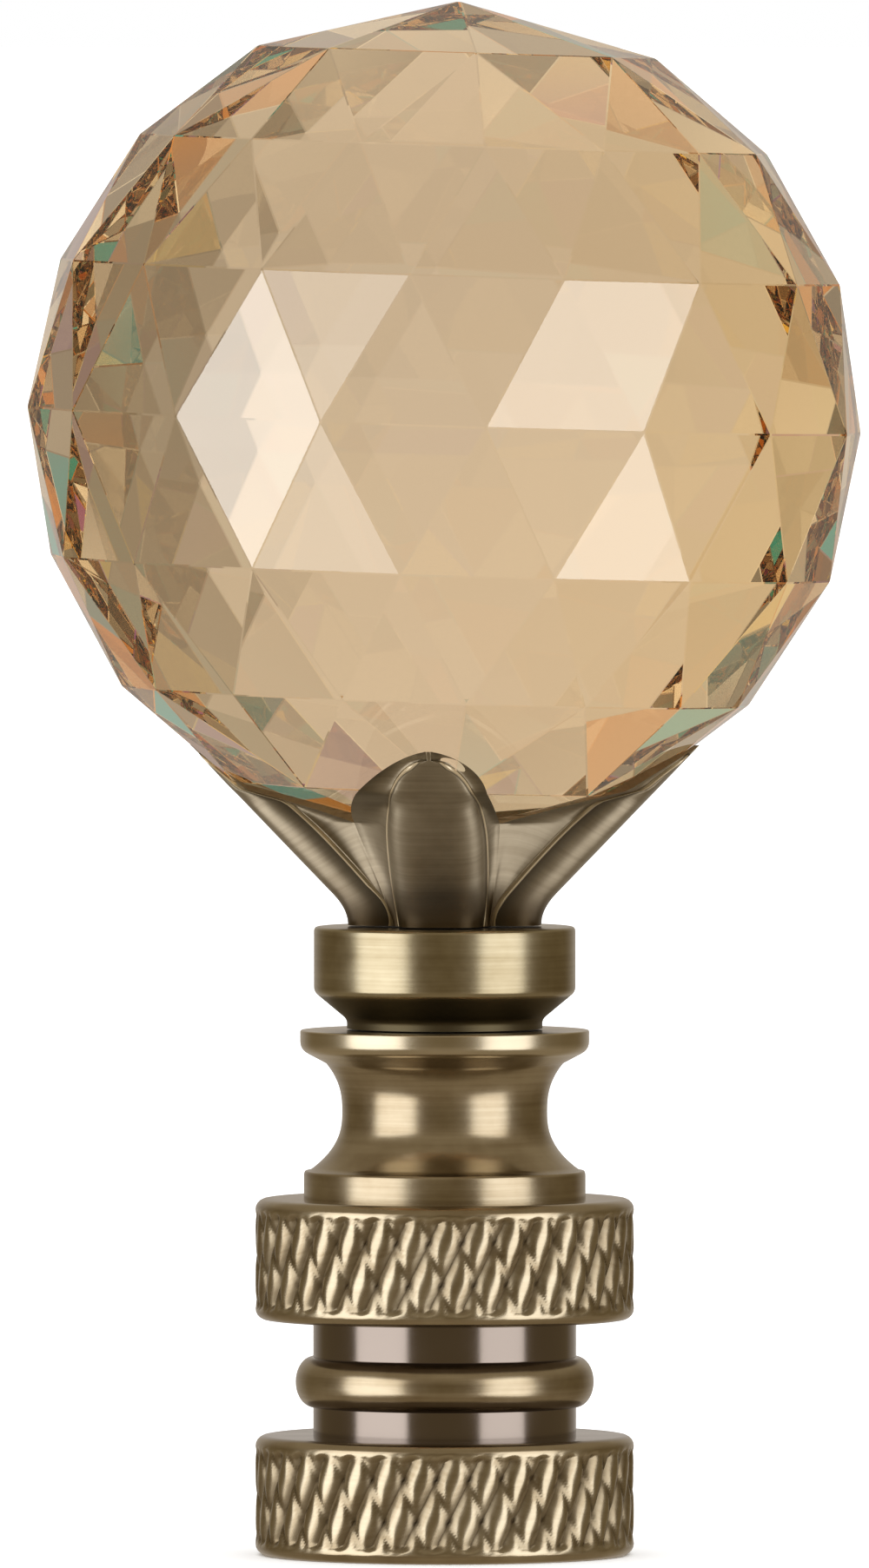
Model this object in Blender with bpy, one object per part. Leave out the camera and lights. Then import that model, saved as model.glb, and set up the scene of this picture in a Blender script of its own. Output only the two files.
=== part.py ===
"""A lamp shade finial: a faceted crystal ball held in a brass cup of four petals, on a turned
brass collar and a turned brass base with two knurled bands and a blind threaded hole below.

Metres, +Z up. The origin is the centre of the underside. The front of the finial faces -Y,
and an azimuth is measured from there towards +X."""

import math

import bmesh
import bpy
from mathutils import Matrix, Vector

# Gaps between the pieces
SEAM = 0.00006
BALL_CLEARANCE = 0.0001

# Threaded hole, a quarter-inch thread at its major diameter
THREAD_DIAMETER = 0.00635
THREAD_DEPTH = 0.0100
THREAD_MOUTH_CHAMFER = 0.0004
DRILL_POINT_HEIGHT = 0.0016

# Turned base, from the underside up
NECK_WALL = 0.0016
BAND_PROJECTION = 0.0021
BAND_CORNER = 0.00035
LOWER_BAND_HEIGHT = 0.00435
LOWER_NECK_HEIGHT = 0.00102
BEAD_PROJECTION = 0.00064
BEAD_HEIGHT = 0.00183
MIDDLE_NECK_HEIGHT = 0.00135
UPPER_BAND_HEIGHT = 0.0044
FLANGE_PROJECTION = 0.00034
FLANGE_HEIGHT = 0.00101
WAIST_DIAMETER = 0.00745
SPOOL_FOOT_HEIGHT = 0.00214
SPOOL_SHOULDER_HEIGHT = 0.00176
SPOOL_SHOULDER_DIAMETER = 0.00862
SPOOL_CURVE = 2.5
LIP_DIAMETER = 0.0105
LIP_CONE_HEIGHT = 0.00071
LIP_RIM_HEIGHT = 0.0005

# Knurling: deep grooves that lean right, crossed by shallow ones that lean left
KNURL_PITCH = 0.00123
KNURL_DEEP_LEAN = 26.7
KNURL_SHALLOW_LEAN = 17.0
KNURL_DEEP_DEPTH = 0.0002
KNURL_SHALLOW_DEPTH = 0.00012
KNURL_MARGIN = 0.00012

# Collar
COLLAR_FOOT_DIAMETER = 0.0071
COLLAR_FOOT_HEIGHT = 0.00033
COLLAR_CONE_HEIGHT = 0.001
COLLAR_DIAMETER = 0.0095
COLLAR_BAND_HEIGHT = 0.00237
COLLAR_EDGE = 0.00018
COLLAR_SIDES = 64

# Petal cup
PETALS = 4
PETAL_TURN = -3.7
VALLEY_TURN = -10.0
CUP_NECK_DIAMETER = 0.0070
VALLEY_FOOT_DIAMETER = 0.00484
VALLEY_TOP_DIAMETER = 0.00766
FLARE_HEIGHT = 0.00056
BALL_SEAT_HEIGHT = 0.00313
NOTCH_WALL = 0.0014
PETAL_RISE = 0.0034
PETAL_TIP_WIDTH = 0.0003
PETAL_ROUNDNESS = 0.62
LOBE_WIDTH = 0.00352
LOBE_NECK_WIDTH = 0.00304
LOBE_DEPTH_RATIO = 1.1
LOBE_TOP_MARGIN = 0.00032
LOBE_ROUNDNESS = 0.45
LOBE_STEPS = 4
FLANK_HOLLOW = 0.00012
RIM_THICKNESS = 0.00036
CUP_CORE_DIAMETER = 0.002
CUP_ROWS_BELOW_NOTCH = 9
CUP_ROWS_ABOVE_NOTCH = 9

# Shares of the width that a petal's section keeps clear, so that no two of its points meet
LOBE_SHARE_OF_PETAL = 0.8
HOLLOW_SHARE_OF_FLANK = 0.1
FLANK_POINT_SHARES = (0.35, 0.7)
LAST_FLANK_SHARE = 0.97
CORE_SHARE_OF_PETAL = 0.4
FIRST_ROW_SHARE = 0.02
RIM_BLEND_POWER = 4
VALLEY_BLEND_POWER = 2

# Crystal ball: each ring of corners as latitude, number of corners, turn in half steps
BALL_DIAMETER = 0.0304
BALL_LEAN = 1.9
BALL_TURN = 5.5
BALL_RINGS = ((0.0, 16, 0), (20.7, 16, 1), (41.2, 16, 0), (61.5, 8, 0))


def azimuth_point(radius, azimuth, z):
    """The point at this radius and height, with the azimuth in radians from the front."""
    return Vector((radius * math.sin(azimuth), -radius * math.cos(azimuth), z))


def material(name, colour, roughness, metallic, transmission=0.0):
    made = bpy.data.materials.new(name)
    made.use_nodes = True
    shader = made.node_tree.nodes["Principled BSDF"]
    shader.inputs["Base Color"].default_value = (*colour, 1.0)
    shader.inputs["Roughness"].default_value = roughness
    shader.inputs["Metallic"].default_value = metallic
    shader.inputs["Transmission Weight"].default_value = transmission
    return made


def new_object(name, mesh_maker, surface, smooth_below=None):
    """One named object from a bmesh, with outward faces, one material and sharp creases kept."""
    mesh_maker.normal_update()
    bmesh.ops.recalc_face_normals(mesh_maker, faces=mesh_maker.faces)
    mesh = bpy.data.meshes.new(name)
    mesh_maker.to_mesh(mesh)
    mesh_maker.free()
    if smooth_below is not None:
        mesh.shade_smooth()
        mesh.set_sharp_from_angle(angle=math.radians(smooth_below))
    made = bpy.data.objects.new(name, mesh)
    bpy.context.scene.collection.objects.link(made)
    if surface is not None:
        mesh.materials.append(surface)
    return made


def loft(rings, start=None, end=None):
    """A closed skin through rings of equal length, each end closed to a point or by a flat face."""
    maker = bmesh.new()
    rows = [[maker.verts.new(point) for point in ring] for ring in rings]
    for low, high in zip(rows, rows[1:]):
        for i, corner in enumerate(low):
            maker.faces.new((low[i - 1], corner, high[i], high[i - 1]))
    for row, tip in ((rows[0], start), (rows[-1], end)):
        if tip is None:
            maker.faces.new(row)
            continue
        centre = maker.verts.new(tip)
        for i, corner in enumerate(row):
            maker.faces.new((row[i - 1], corner, centre))
    return maker


def round_ring(radius, z, sides, turn=0.0):
    return [azimuth_point(radius, turn + math.tau * i / sides, z) for i in range(sides)]


def arc_profile(centre_radius, centre_z, bulge, half_height, steps):
    """The (radius, z) points of a half-round moulding, from its foot to its top."""
    angles = [math.pi * (i / steps - 0.5) for i in range(steps + 1)]
    return [(centre_radius + bulge * math.cos(a), centre_z + half_height * math.sin(a)) for a in angles]


# Heights and radii that several pieces share
THREAD_RADIUS = THREAD_DIAMETER / 2
NECK_RADIUS = THREAD_RADIUS + NECK_WALL
BAND_RADIUS = NECK_RADIUS + BAND_PROJECTION
FLANGE_RADIUS = NECK_RADIUS + FLANGE_PROJECTION
LOWER_NECK_Z = LOWER_BAND_HEIGHT
BEAD_Z = LOWER_NECK_Z + LOWER_NECK_HEIGHT
MIDDLE_NECK_Z = BEAD_Z + BEAD_HEIGHT
UPPER_BAND_Z = MIDDLE_NECK_Z + MIDDLE_NECK_HEIGHT
FLANGE_Z = UPPER_BAND_Z + UPPER_BAND_HEIGHT
SPOOL_Z = FLANGE_Z + FLANGE_HEIGHT
WAIST_Z = SPOOL_Z + SPOOL_FOOT_HEIGHT
SHOULDER_Z = WAIST_Z + SPOOL_SHOULDER_HEIGHT
LIP_Z = SHOULDER_Z + LIP_CONE_HEIGHT
BASE_TOP_Z = LIP_Z + LIP_RIM_HEIGHT
COLLAR_Z = BASE_TOP_Z + SEAM
COLLAR_CONE_Z = COLLAR_Z + COLLAR_FOOT_HEIGHT
COLLAR_BAND_Z = COLLAR_CONE_Z + COLLAR_CONE_HEIGHT
COLLAR_TOP_Z = COLLAR_BAND_Z + COLLAR_BAND_HEIGHT
CUP_Z = COLLAR_TOP_Z + SEAM
BALL_FOOT_Z = CUP_Z + BALL_SEAT_HEIGHT
BALL_RADIUS = BALL_DIAMETER / 2
BALL_CENTRE_Z = BALL_FOOT_Z + BALL_RADIUS
PETAL_TIP_Z = BALL_FOOT_Z + PETAL_RISE


# Knurled base

KNURL_COUNT = round(math.tau * BAND_RADIUS / KNURL_PITCH)
BASE_SIDES = 2 * KNURL_COUNT


def knurl_turn(z, band_z):
    """How far the deep grooves have wound round at this height, in radians."""
    return (z - band_z) * math.tan(math.radians(KNURL_DEEP_LEAN)) / BAND_RADIUS


def knurl_ring(z, turn, crossed):
    """One level of the knurling, a crest and a groove in turn. On crossed levels the shallow
    grooves cut the crests, and between them they cut the deep grooves deeper."""
    crest = BAND_RADIUS - (KNURL_SHALLOW_DEPTH if crossed else 0.0)
    groove = BAND_RADIUS - KNURL_DEEP_DEPTH - (0.0 if crossed else KNURL_SHALLOW_DEPTH)
    return [
        azimuth_point(groove if i % 2 else crest, turn + math.tau * i / BASE_SIDES, z)
        for i in range(BASE_SIDES)
    ]


def knurled_band(z, height, turn):
    """The rings of one band and the turn of its last ring."""
    top = z + height
    low = z + BAND_CORNER
    high = top - BAND_CORNER
    first = low + KNURL_MARGIN
    last = high - KNURL_MARGIN
    leans = math.tan(math.radians(KNURL_DEEP_LEAN)) + math.tan(math.radians(KNURL_SHALLOW_LEAN))
    steps = max(2, round((last - first) * leans / (KNURL_PITCH / 2)))
    inner = BAND_RADIUS - BAND_CORNER
    rings = [round_ring(inner, z, BASE_SIDES, turn)]
    rings.append(round_ring(BAND_RADIUS - KNURL_SHALLOW_DEPTH, low, BASE_SIDES, turn + knurl_turn(low, z)))
    for i in range(steps + 1):
        level = first + (last - first) * i / steps
        rings.append(knurl_ring(level, turn + knurl_turn(level, z), i % 2 == 1))
    end = turn + knurl_turn(high, z)
    rings.append(round_ring(BAND_RADIUS - KNURL_SHALLOW_DEPTH, high, BASE_SIDES, end))
    rings.append(round_ring(inner, top, BASE_SIDES, end))
    return rings, end


def spool_profile(steps=5):
    """The hollow curve of the spool: from its foot to the waist, and out again to the shoulder."""
    waist = WAIST_DIAMETER / 2
    foot = FLANGE_RADIUS
    shoulder = SPOOL_SHOULDER_DIAMETER / 2
    points = []
    for i in range(steps, 0, -1):
        share = i / steps
        points.append((waist + (foot - waist) * share**SPOOL_CURVE, WAIST_Z - SPOOL_FOOT_HEIGHT * share))
    points.append((waist, WAIST_Z))
    for i in range(1, steps):
        share = i / (steps - 1)
        rise = SPOOL_SHOULDER_HEIGHT * share
        points.append((waist + (shoulder - waist) * share**SPOOL_CURVE, WAIST_Z + rise))
    return points


def make_base(surface):
    turn = 0.0
    mouth = THREAD_RADIUS + THREAD_MOUTH_CHAMFER
    profile = [
        (THREAD_RADIUS, THREAD_DEPTH),
        (THREAD_RADIUS, THREAD_MOUTH_CHAMFER),
        (mouth, 0.0),
    ]
    rings = [round_ring(radius, z, BASE_SIDES) for radius, z in profile]
    band, turn = knurled_band(0.0, LOWER_BAND_HEIGHT, turn)
    rings += band
    rings.append(round_ring(NECK_RADIUS, LOWER_NECK_Z, BASE_SIDES, turn))
    half_bead = BEAD_HEIGHT / 2
    bead = arc_profile(NECK_RADIUS, BEAD_Z + half_bead, BEAD_PROJECTION, half_bead, 6)
    rings += [round_ring(radius, z, BASE_SIDES, turn) for radius, z in bead]
    rings.append(round_ring(NECK_RADIUS, UPPER_BAND_Z, BASE_SIDES, turn))
    band, turn = knurled_band(UPPER_BAND_Z, UPPER_BAND_HEIGHT, turn)
    rings += band
    above = [(FLANGE_RADIUS, FLANGE_Z)]
    above += spool_profile()
    above += [(LIP_DIAMETER / 2, LIP_Z), (LIP_DIAMETER / 2, BASE_TOP_Z)]
    rings += [round_ring(radius, z, BASE_SIDES, turn) for radius, z in above]
    drill_point = Vector((0.0, 0.0, THREAD_DEPTH + DRILL_POINT_HEIGHT))
    maker = loft(rings, start=drill_point, end=Vector((0.0, 0.0, BASE_TOP_Z)))
    return new_object("knurled_base", maker, surface, smooth_below=25)


# Collar


def make_collar(surface):
    foot = COLLAR_FOOT_DIAMETER / 2
    radius = COLLAR_DIAMETER / 2
    profile = [
        (foot, COLLAR_Z),
        (foot, COLLAR_CONE_Z),
        (radius - COLLAR_EDGE, COLLAR_BAND_Z - COLLAR_EDGE),
        (radius, COLLAR_BAND_Z + COLLAR_EDGE),
        (radius, COLLAR_TOP_Z - COLLAR_EDGE),
        (radius - COLLAR_EDGE, COLLAR_TOP_Z),
    ]
    rings = [round_ring(r, z, COLLAR_SIDES) for r, z in profile]
    return new_object("collar", loft(rings), surface, smooth_below=30)


# Crystal ball


def ball_mesh(radius):
    """The cut ball: the convex hull of its rings of corners, the same above and below."""
    maker = bmesh.new()
    for sign in (1, -1):
        for latitude, corners, half_steps in BALL_RINGS:
            if latitude == 0.0 and sign == -1:
                continue
            height = sign * radius * math.sin(math.radians(latitude))
            reach = radius * math.cos(math.radians(latitude))
            turn = math.radians(BALL_TURN) + half_steps * math.pi / corners
            for point in round_ring(reach, height, corners, turn):
                maker.verts.new(point)
        maker.verts.new((0.0, 0.0, sign * radius))
    bmesh.ops.convex_hull(maker, input=maker.verts)
    return maker


def place_ball(ball):
    ball.location = (0.0, 0.0, BALL_CENTRE_Z)
    ball.rotation_euler = (0.0, math.radians(BALL_LEAN), 0.0)


def make_ball(surface):
    ball = new_object("crystal_ball", ball_mesh(BALL_RADIUS), surface)
    place_ball(ball)
    return ball


def ball_profile():
    """The (height, radius) points up the flats of the ball's lower facets, from its foot."""
    points = [(BALL_FOOT_Z, 0.0)]
    for latitude, corners, _ in reversed(BALL_RINGS):
        flat = math.cos(math.pi / corners / 2)
        angle = math.radians(latitude)
        points.append((BALL_CENTRE_Z - BALL_RADIUS * math.sin(angle), BALL_RADIUS * math.cos(angle) * flat))
    return points


def read_between(pairs, value):
    """The second number of the pairs where the first has this value, read along straight lines."""
    for (first, start), (last, end) in zip(pairs, pairs[1:]):
        if value < last:
            return start + (end - start) * max(0.0, value - first) / (last - first)
    return pairs[-1][1]


def ball_reach(z):
    """The ball's radius at this height, along the flats of its lower facets."""
    return read_between(ball_profile(), z)


def ball_height(reach):
    """The height at which the flats of the ball's lower facets reach this radius."""
    return read_between([(radius, z) for z, radius in ball_profile()], reach)


# Petal cup

NOTCH_Z = ball_height(VALLEY_TOP_DIAMETER / 2 - NOTCH_WALL)
TIP_RADIUS = ball_reach(PETAL_TIP_Z) + RIM_THICKNESS
PETAL_HALF_WIDTH = VALLEY_TOP_DIAMETER / 2 * math.sin(math.pi / PETALS)


def lobe_radius(z):
    """The cup's outer radius on a petal's centre line: upright at the neck, then straight to the tip."""
    neck = CUP_NECK_DIAMETER / 2
    bend_z = CUP_Z + FLARE_HEIGHT
    slope = (TIP_RADIUS - neck) / (PETAL_TIP_Z - bend_z)
    if z > bend_z + FLARE_HEIGHT:
        return neck + slope * (z - bend_z)
    return neck + slope * (z - CUP_Z) ** 2 / (4 * FLARE_HEIGHT)


def arch(share, roundness):
    """Half the width of a round-headed arch, as a share of its foot, at this share of its height."""
    return max(0.0, 1 - min(1.0, max(0.0, share)) ** 2) ** roundness


def lobe_half_width(z):
    """Half the width of the half-round lobe that runs up the middle of a petal."""
    foot = LOBE_NECK_WIDTH / 2
    spread = min(1.0, (z - CUP_Z) / BALL_SEAT_HEIGHT)
    full = foot + (LOBE_WIDTH / 2 - foot) * math.sin(spread * math.pi / 2)
    top = PETAL_TIP_Z - LOBE_TOP_MARGIN
    return max(PETAL_TIP_WIDTH / 4, full * arch((z - BALL_FOOT_Z) / (top - BALL_FOOT_Z), LOBE_ROUNDNESS))


def petal_share(z):
    """The share of the way up from the notch to a petal's tip."""
    return (z - NOTCH_Z) / (PETAL_TIP_Z - NOTCH_Z)


def rim_reach(z):
    """The radius of the petals' outline: the valley's at the notch, then just outside the ball."""
    notch_rim = VALLEY_TOP_DIAMETER / 2 - ball_reach(NOTCH_Z) - RIM_THICKNESS
    return ball_reach(z) + RIM_THICKNESS + notch_rim * (1 - petal_share(z)) ** RIM_BLEND_POWER


def petal_edge(z, side):
    """The outline's (radial, sideways) point on one side, at a height above the notch."""
    share = petal_share(z)
    reach = rim_reach(z)
    sideways = max(PETAL_TIP_WIDTH / 2, PETAL_HALF_WIDTH * arch(share, PETAL_ROUNDNESS))
    valley_turn = side * math.radians(VALLEY_TURN) * (1 - share) ** VALLEY_BLEND_POWER
    angle = math.asin(min(1.0, sideways / reach)) + valley_turn
    return Vector((reach * math.cos(angle), reach * math.sin(angle)))


def valley_point(z, side):
    """The bottom of the valley beside a petal, as (radial, sideways) seen from that petal."""
    share = (z - CUP_Z) / (NOTCH_Z - CUP_Z)
    radius = (VALLEY_FOOT_DIAMETER + (VALLEY_TOP_DIAMETER - VALLEY_FOOT_DIAMETER) * share) / 2
    angle = math.pi / PETALS + side * math.radians(VALLEY_TURN) * share
    return Vector((radius * math.cos(angle), radius * math.sin(angle)))


def half_section(z, side, above_notch):
    """A petal's section from the lobe's middle out to the valley on one side, without the middle."""
    outer = lobe_radius(z)
    half = lobe_half_width(z)
    depth = LOBE_DEPTH_RATIO * half
    if above_notch:
        edge = petal_edge(z, side)
        half = min(half, edge.y * LOBE_SHARE_OF_PETAL)
        depth = min(depth, outer - math.sqrt(rim_reach(z) ** 2 - half**2))
    else:
        edge = valley_point(z, side)
    points = []
    for i in range(1, LOBE_STEPS + 1):
        angle = math.pi / 2 * i / LOBE_STEPS
        points.append(Vector((outer - depth * (1 - math.cos(angle)), half * math.sin(angle))))
    ridge = points[-1]
    across = edge - ridge
    depth = min(FLANK_HOLLOW, across.length * HOLLOW_SHARE_OF_FLANK)
    hollow = Vector((-abs(across.y), -abs(across.x))).normalized() * depth
    for share in FLANK_POINT_SHARES:
        points.append(ridge + across * share + hollow)
    points.append(ridge + across * LAST_FLANK_SHARE)
    if above_notch:
        angle = math.pi / PETALS + side * math.radians(VALLEY_TURN)
        inner = min(CUP_CORE_DIAMETER / 2, edge.length * CORE_SHARE_OF_PETAL)
        points.append(Vector((inner * math.cos(angle), inner * math.sin(angle))))
    else:
        points.append(edge)
    return [(point.x, side * point.y) for point in points]


def cup_ring(z, above_notch):
    """One level of the cup all round. Neighbouring petals share the point in the valley."""
    ring = []
    for i in range(PETALS):
        turn = math.radians(PETAL_TURN) + math.tau * i / PETALS
        left = half_section(z, -1, above_notch)[:-1]
        right = half_section(z, 1, above_notch)
        section = left[::-1] + [(lobe_radius(z), 0.0)] + right
        for radial, sideways in section:
            azimuth = turn + math.atan2(sideways, radial)
            ring.append(azimuth_point(math.hypot(radial, sideways), azimuth, z))
    return ring


def make_cup(surface):
    """The cup is lofted as a solid that reaches into the ball, and the ball is then cut out of it."""
    rings = []
    for i in range(CUP_ROWS_BELOW_NOTCH):
        share = i / (CUP_ROWS_BELOW_NOTCH - 1)
        rings.append(cup_ring(CUP_Z + (NOTCH_Z - CUP_Z) * share, False))
    for i in range(CUP_ROWS_ABOVE_NOTCH):
        eased = math.sin(math.pi / 2 * i / (CUP_ROWS_ABOVE_NOTCH - 1))
        share = FIRST_ROW_SHARE + (1 - FIRST_ROW_SHARE) * eased
        rings.append(cup_ring(NOTCH_Z + (PETAL_TIP_Z - NOTCH_Z) * share, True))
    cup = new_object("petal_cup", loft(rings), surface, smooth_below=35)
    scale = (BALL_RADIUS + BALL_CLEARANCE) / BALL_RADIUS
    cutter = new_object("ball_cutter", ball_mesh(BALL_RADIUS * scale), None)
    place_ball(cutter)
    cutter.hide_render = True
    cutter.display_type = "WIRE"
    cut = cup.modifiers.new("seat for the ball", "BOOLEAN")
    cut.operation = "DIFFERENCE"
    cut.object = cutter
    return [cup, cutter]


def main():
    for old in list(bpy.data.objects):
        bpy.data.objects.remove(old, do_unlink=True)
    brass = material("antique brass", (0.36, 0.27, 0.13), 0.28, 1.0)
    brass_cup = material("antique brass, darker", (0.26, 0.20, 0.12), 0.33, 1.0)
    brass_knurl = material("antique brass, knurled", (0.33, 0.25, 0.13), 0.35, 1.0)
    crystal = material("champagne crystal", (0.93, 0.83, 0.68), 0.0, 0.0, transmission=1.0)
    finial = bpy.data.objects.new("finial", None)
    bpy.context.scene.collection.objects.link(finial)
    pieces = [make_base(brass_knurl), make_collar(brass), make_ball(crystal)]
    pieces += make_cup(brass_cup)
    for piece in pieces:
        piece.parent = finial


main()
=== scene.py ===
"""The looks of the lamp shade finial: cut champagne crystal, cast and turned antique brass."""

import math

import bmesh
import bpy
from mathutils import Euler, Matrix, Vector


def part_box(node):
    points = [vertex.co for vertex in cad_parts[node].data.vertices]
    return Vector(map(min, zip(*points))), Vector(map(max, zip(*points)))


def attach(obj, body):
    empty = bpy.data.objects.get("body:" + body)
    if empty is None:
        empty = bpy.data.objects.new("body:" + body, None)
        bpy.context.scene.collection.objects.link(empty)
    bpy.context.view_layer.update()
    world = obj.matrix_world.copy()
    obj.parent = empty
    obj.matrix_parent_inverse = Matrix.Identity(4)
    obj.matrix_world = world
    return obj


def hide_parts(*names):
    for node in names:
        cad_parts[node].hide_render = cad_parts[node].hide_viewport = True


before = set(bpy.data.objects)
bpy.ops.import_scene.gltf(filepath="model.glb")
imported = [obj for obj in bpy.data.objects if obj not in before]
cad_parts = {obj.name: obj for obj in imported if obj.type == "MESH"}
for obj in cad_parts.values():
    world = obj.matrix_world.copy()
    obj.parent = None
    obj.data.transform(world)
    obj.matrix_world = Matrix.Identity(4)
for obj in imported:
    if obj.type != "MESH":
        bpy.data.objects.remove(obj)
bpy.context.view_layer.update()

MM = 0.001

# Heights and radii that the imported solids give
_, BASE_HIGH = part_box("knurled_base")
COLLAR_LOW, COLLAR_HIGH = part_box("collar")
CUP_LOW, CUP_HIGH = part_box("petal_cup")
BALL_LOW, BALL_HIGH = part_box("crystal_ball")
BASE_TOP_Z = BASE_HIGH.z
COLLAR_Z = COLLAR_LOW.z
COLLAR_TOP_Z = COLLAR_HIGH.z
CUP_Z = CUP_LOW.z
PETAL_TIP_Z = CUP_HIGH.z

# Crystal ball
BALL_LEAN = math.radians(1.9)
BALL_TURN = math.radians(5.5)
BALL_RADIUS = (BALL_HIGH.z - BALL_LOW.z) / 2 / math.cos(BALL_LEAN)
BALL_CENTRE_Z = (BALL_HIGH.z + BALL_LOW.z) / 2
BALL_FOOT_Z = BALL_CENTRE_Z - BALL_RADIUS
BALL_CLEARANCE = 0.03 * MM
# Rings of corners above and below the middle: latitude, corners, and turn in half steps
BALL_RINGS = ((0.0, 16, 0), (20.7, 16, 1), (41.2, 16, 0), (61.5, 8, 0))
FACET_EDGE = 0.035 * MM
CRYSTAL_COLOUR = (0.741, 0.599, 0.435)
CRYSTAL_IOR = 1.56
DEPTH_TINT = (0.643, 0.406, 0.047)
DEPTH_TINT_DENSITY = 9.3

# Base
THREAD_RADIUS = 3.175 * MM
THREAD_DEPTH = 10.0 * MM
THREAD_PITCH = 0.94 * MM
THREAD_RIDGE = 0.42 * MM
THREAD_MOUTH_CHAMFER = 0.4 * MM
DRILL_POINT_HEIGHT = 1.6 * MM
BAND_RADIUS = 6.875 * MM
BAND_CORNER = 0.4 * MM
NECK_RADIUS = 4.775 * MM
FLANGE_RADIUS = 5.115 * MM
FLANGE_EDGE = 0.2 * MM
BEAD_PROJECTION = 0.64 * MM
LOWER_BAND_HEIGHT = 4.35 * MM
BEAD_Z = 5.37 * MM
BEAD_HEIGHT = 1.83 * MM
BEAD_STEPS = 20
UPPER_BAND_Z = 8.55 * MM
UPPER_BAND_HEIGHT = 4.4 * MM
FLANGE_Z = UPPER_BAND_Z + UPPER_BAND_HEIGHT
SPOOL_Z = FLANGE_Z + 1.01 * MM
WAIST_Z = SPOOL_Z + 2.14 * MM
SHOULDER_Z = WAIST_Z + 1.76 * MM
WAIST_RADIUS = 3.725 * MM
SHOULDER_RADIUS = 4.31 * MM
LIP_Z = SHOULDER_Z + 0.5 * MM
LIP_RADIUS = 5.25 * MM
LIP_ROUND = 0.3 * MM
LIP_EDGE = 0.08 * MM
# How much lighter the lip is painted, as a painted highlight
LIP_PAINTED_HIGHLIGHT = 0.6
SPOOL_CURVE = 2.5

# Knurling
KNURL_COUNT = 35
KNURL_POINTS = 12
KNURL_DEEP_LEAN = math.radians(26.7)
KNURL_SHALLOW_LEAN = math.radians(17.0)
KNURL_DEEP_DEPTH = 0.2 * MM
KNURL_SHALLOW_DEPTH = 0.11 * MM
KNURL_DEEP_POWER = 2.2
KNURL_SHALLOW_POWER = 4.5
KNURL_LEVEL = 0.1 * MM
KNURL_FADE = 0.22 * MM
CROWN_DEPTH = 0.1
# How much lighter the knurl's crowns are painted: worn metal and a painted highlight
CROWN_WEAR_AND_HIGHLIGHT = 0.35

# Collar
COLLAR_FOOT_RADIUS = 3.55 * MM
COLLAR_RADIUS = 4.75 * MM
COLLAR_FOOT_HEIGHT = 0.33 * MM
COLLAR_CONE_HEIGHT = 1.0 * MM
COLLAR_EDGE = 0.18 * MM
ROUND_SIDES = 256
TURNED_SHARP_ANGLE = 50

# Petal cup
PETALS = 4
PETAL_TURN = math.radians(-3.7)
VALLEY_TURN = math.radians(-10.0)
CUP_NECK_RADIUS = 3.5 * MM
VALLEY_FOOT_RADIUS = 2.42 * MM
VALLEY_TOP_RADIUS = 3.83 * MM
FLARE_HEIGHT = 0.56 * MM
NOTCH_Z = BALL_FOOT_Z + 0.63 * MM
PETAL_HALF_WIDTH = 2.708 * MM
PETAL_ROUNDNESS = 0.62
TIP_HALF_WIDTH = 0.15 * MM
LOBE_HALF_WIDTH = 1.76 * MM
LOBE_NECK_HALF_WIDTH = 1.52 * MM
LOBE_DEPTH_RATIO = 1.1
LOBE_TOP_MARGIN = 0.32 * MM
LOBE_ROUNDNESS = 0.45
LOBE_SQUARENESS = 3.2
LOBE_POINTS = 14
LOBE_EDGE_SHARE = 0.85
RIDGE_WIDTH = 0.22 * MM
RIDGE_HEIGHT = 0.1 * MM
RIDGE_SHARES = (0.1, 0.35, 0.65, 0.9)
RIDGE_OUTWARD = (0.5, 0.86)
RIDGE_SINK_LIMIT = 0.9
GROOVE_WIDTH = 0.1 * MM
GROOVE_DEPTH = 0.015 * MM
GROOVE_SHARES = (0.2, 0.5, 0.8)
# A ridge or groove is full size where its lobe or flank is this many times as wide
TRIM_ROOM = 4
FLANK_POINTS = 9
FLANK_HOLLOW = 0.14 * MM
FLANK_HOLLOW_SHARE = 0.12
FLANK_HOLLOW_POWER = 0.7
FLANK_END_SHARE = 0.98
RIM_THICKNESS = 0.16 * MM
CUP_CORE_RADIUS = 1.0 * MM
CUP_CORE_SHARE = 0.4
NOTCH_RIM_POWER = 4
EDGE_TURN_POWER = 2
WALL_LEVELS = 34
PETAL_LEVELS = 30
FIRST_PETAL_SHARE = 0.01
CUP_SHARP_ANGLE = 38
# Wear and painted highlight along the ridge, from its foot on the lobe, and painted shade along the
# lobe's last points
RIDGE_WEAR_AND_HIGHLIGHT = [0.5, 1.0, 1.0, 1.0, 0.4]
LOBE_FOOT_SHADE = [0.5, 1.0]


# Mesh helpers

# The most of an edge that the rounding of one of its corners takes up
CORNER_SHARE = 0.45


def on_circle(radius, azimuth, z):
    """A point at this azimuth, measured from the front (-Y) towards +X."""
    return Vector((radius * math.sin(azimuth), -radius * math.cos(azimuth), z))


def ring(radius, z, sides, turn=0.0):
    return [on_circle(radius, turn + math.tau * i / sides, z) for i in range(sides)]


def rounded(profile, radii, steps=5):
    """A (radius, z) profile with each of its inner corners rounded off, by a radius for each corner."""
    points = [profile[0]]
    for before, corner, after, radius in zip(profile, profile[1:], profile[2:], radii):
        corner = Vector(corner)
        start = Vector(before) - corner
        end = Vector(after) - corner
        start = corner + start.normalized() * min(radius, start.length * CORNER_SHARE)
        end = corner + end.normalized() * min(radius, end.length * CORNER_SHARE)
        for i in range(steps + 1):
            t = i / steps
            points.append(start * (1 - t) ** 2 + corner * 2 * t * (1 - t) + end * t**2)
    points.append(profile[-1])
    return [tuple(point) for point in points]


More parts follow.
